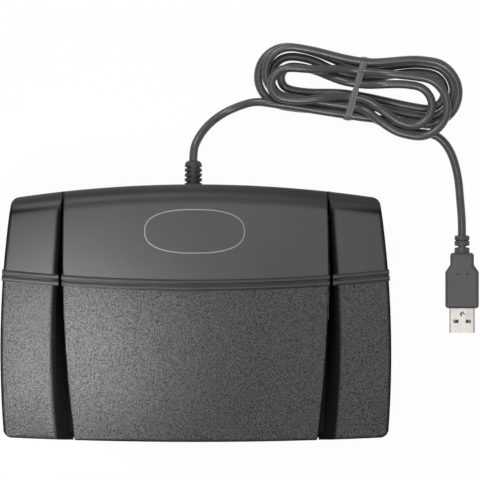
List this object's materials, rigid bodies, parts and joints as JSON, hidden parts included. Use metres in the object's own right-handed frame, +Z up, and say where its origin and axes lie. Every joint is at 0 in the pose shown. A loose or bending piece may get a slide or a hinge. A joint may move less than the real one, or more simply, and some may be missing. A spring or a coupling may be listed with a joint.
{
  "type": "usb foot pedal switch",
  "caption": "Low wedge-shaped foot switch with sprung pedals side by side over microswitches, and a hanked USB cord with a plug.",
  "frame": {"origin": "on the floor under the middle of the pedal block", "axes": "+X to the user's right along the row of pedals, +Y from the pedals' toes to the hinge and the cord, +Z up"},
  "size_m": [0.2283, 0.1911, 0.038],
  "materials": {
    "pedal_plastic": "fine moulded texture",
    "pan_plastic": "satin moulded",
    "ballast_steel": "zinc plated",
    "screw_steel": "zinc plated",
    "foot_rubber": "matt",
    "rod_steel": "ground",
    "spring_steel": "oiled wire",
    "board_laminate": "solder resist",
    "switch_case": "moulded",
    "switch_pin_metal": "tinned",
    "switch_button": "polished",
    "chip_epoxy": "moulded epoxy",
    "header_nylon": "natural nylon",
    "relief_rubber": "soft moulded",
    "cord_jacket": "satin PVC jacket",
    "tie_film": "flat PVC ribbon",
    "plug_grip": "soft moulded",
    "plug_steel": "nickel plated",
    "tongue_plastic": "moulded",
    "contact_gold": "gold plated"
  },
  "bodies": {
    "base": {"base_pan": "pan_plastic", "ballast_plate": "ballast_steel", "base_screws": "screw_steel", "rubber_feet": "foot_rubber", "hinge_rod": "rod_steel", "rod_clips": "spring_steel", "spring_left": "spring_steel", "springs_centre": "spring_steel", "spring_right": "spring_steel", "stop_bumpers": "foot_rubber", "circuit_board": "board_laminate", "board_screws": "screw_steel", "controller_chip": "chip_epoxy", "cord_header": "header_nylon", "cord_strain_relief": "relief_rubber", "cord_inlet": "cord_jacket", "cord_lead": "cord_jacket", "cord_hank": "cord_jacket", "cord_tail": "cord_jacket", "cord_tie": "tie_film", "plug_sleeve": "plug_grip", "plug_overmould": "plug_grip", "plug_shell": "plug_steel", "plug_tongue": "tongue_plastic", "plug_contacts": "contact_gold", "switch_body_left": "switch_case", "switch_pins_left": "switch_pin_metal", "switch_body_centre": "switch_case", "switch_pins_centre": "switch_pin_metal", "switch_body_right": "switch_case", "switch_pins_right": "switch_pin_metal"},
    "pedal_left": {"pedal_left": "pedal_plastic"},
    "lever_left": {"switch_lever_left": "spring_steel"},
    "plunger_left": {"switch_plunger_left": "switch_button"},
    "pedal_centre": {"pedal_centre": "pedal_plastic"},
    "lever_centre": {"switch_lever_centre": "spring_steel"},
    "plunger_centre": {"switch_plunger_centre": "switch_button"},
    "pedal_right": {"pedal_right": "pedal_plastic"},
    "lever_right": {"switch_lever_right": "spring_steel"},
    "plunger_right": {"switch_plunger_right": "switch_button"}
  },
  "joints": [
    {"name": "pedal_left_press", "type": "hinge", "parent": "base", "child": "pedal_left", "pos_m": [-0.077, 0.046, 0.0155], "axis": [1, 0, 0], "range_deg": [0, 2.4], "stiffness_Nm_per_rad": 4, "springref_deg": -3.95, "deforming": ["spring_left"]},
    {"name": "lever_left_turn", "type": "hinge", "parent": "base", "child": "lever_left", "pos_m": [-0.077, 0.0174, 0.018], "axis": [1, 0, 0], "range_deg": [0, 6.7]},
    {"name": "plunger_left_slide", "type": "slide", "parent": "base", "child": "plunger_left", "axis": [0, 0, -1], "range_m": [0, 0.0007]},
    {"name": "pedal_centre_press", "type": "hinge", "parent": "base", "child": "pedal_centre", "pos_m": [0, 0.046, 0.0155], "axis": [1, 0, 0], "range_deg": [0, 2.4], "stiffness_Nm_per_rad": 8, "springref_deg": -3.95, "deforming": ["springs_centre"]},
    {"name": "lever_centre_turn", "type": "hinge", "parent": "base", "child": "lever_centre", "pos_m": [0, 0.0174, 0.018], "axis": [1, 0, 0], "range_deg": [0, 6.7]},
    {"name": "plunger_centre_slide", "type": "slide", "parent": "base", "child": "plunger_centre", "axis": [0, 0, -1], "range_m": [0, 0.0007]},
    {"name": "pedal_right_press", "type": "hinge", "parent": "base", "child": "pedal_right", "pos_m": [0.077, 0.046, 0.0155], "axis": [1, 0, 0], "range_deg": [0, 2.4], "stiffness_Nm_per_rad": 4, "springref_deg": -3.95, "deforming": ["spring_right"]},
    {"name": "lever_right_turn", "type": "hinge", "parent": "base", "child": "lever_right", "pos_m": [0.077, 0.0174, 0.018], "axis": [1, 0, 0], "range_deg": [0, 6.7]},
    {"name": "plunger_right_slide", "type": "slide", "parent": "base", "child": "plunger_right", "axis": [0, 0, -1], "range_m": [0, 0.0007]}
  ],
  "couplings": [
    {"joint": "lever_left_turn", "follows": "pedal_left_press", "ratio": 2.7875},
    {"joint": "plunger_left_slide", "follows": "pedal_left_press", "m_per_rad": 0.016693},
    {"joint": "lever_centre_turn", "follows": "pedal_centre_press", "ratio": 2.7875},
    {"joint": "plunger_centre_slide", "follows": "pedal_centre_press", "m_per_rad": 0.016693},
    {"joint": "lever_right_turn", "follows": "pedal_right_press", "ratio": 2.7875},
    {"joint": "plunger_right_slide", "follows": "pedal_right_press", "m_per_rad": 0.016693}
  ]
}
